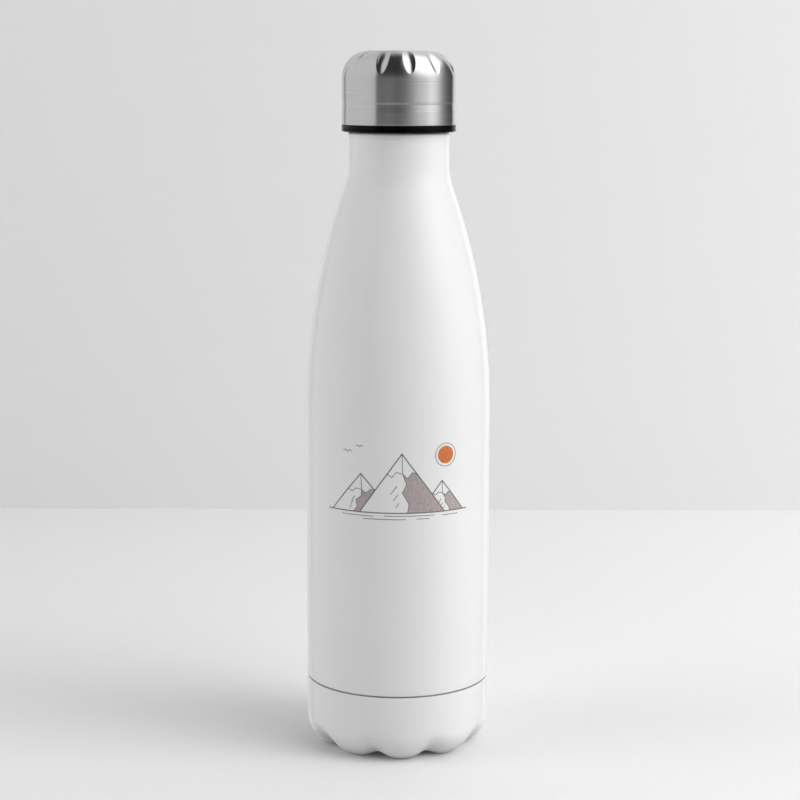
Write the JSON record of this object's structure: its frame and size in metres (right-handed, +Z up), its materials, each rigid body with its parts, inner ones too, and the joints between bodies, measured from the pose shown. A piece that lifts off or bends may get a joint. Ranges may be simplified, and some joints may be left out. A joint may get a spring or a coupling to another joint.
{
  "type": "insulated water bottle",
  "caption": "Double-wall vacuum bottle with a petal base, a sloping shoulder and a fluted brushed-steel screw lid.",
  "frame": {"origin": "centre of the circle of feet, on the surface the bottle stands on", "axes": "+Z up along the bottle's axis towards the lid, -Y towards the printed front"},
  "size_m": [0.07, 0.07, 0.265],
  "materials": {
    "white_coat": "gloss powder coat on steel",
    "white_moulding": "gloss white, same colour as the coat",
    "grey_adhesive": "cured adhesive, satin",
    "plain_steel": "mill finish",
    "solder_glass": "dull glass",
    "getter_alloy": "pressed powder",
    "copper_foil": "bright copper",
    "liner_steel": "electropolished",
    "silicone": "satin black silicone",
    "brushed_cap_steel": "brushed round the cap",
    "grey_plastic": "moulded",
    "foam_tape": "closed-cell tape",
    "black_plastic": "moulded, semi-gloss",
    "insulating_foam": "rigid foam",
    "print_line": "screen-printed ink",
    "print_shade": "screen-printed ink",
    "print_accent": "screen-printed ink"
  },
  "bodies": {
    "bottle": {"outer_shell": "white_coat", "base_cup": "white_moulding", "base_bond_ring": "grey_adhesive", "outer_bottom": "plain_steel", "vacuum_seal_bead": "solder_glass", "getter_holder": "plain_steel", "getter_pellet": "getter_alloy", "copper_layer": "copper_foil", "inner_flask": "liner_steel", "inner_bottom": "liner_steel"},
    "gasket": {"lid_gasket": "silicone"},
    "lid": {"cap_shell": "brushed_cap_steel", "cap_insert": "grey_plastic", "cap_bond_pad": "foam_tape", "stopper_body": "black_plastic", "stopper_foam": "insulating_foam", "stopper_end_cap": "black_plastic"}
  },
  "joints": [
    {"name": "thread_rise", "type": "slide", "parent": "bottle", "child": "gasket", "axis": [0, 0, 1], "range_m": [0, 0.03]},
    {"name": "lid_turn", "type": "hinge", "parent": "gasket", "child": "lid", "pos_m": [0, 0, 0.2351], "axis": [0, 0, 1], "range_deg": [0, 2160]}
  ],
  "couplings": [
    {"joint": "thread_rise", "follows": "lid_turn", "m_per_rad": 0.00079577}
  ]
}
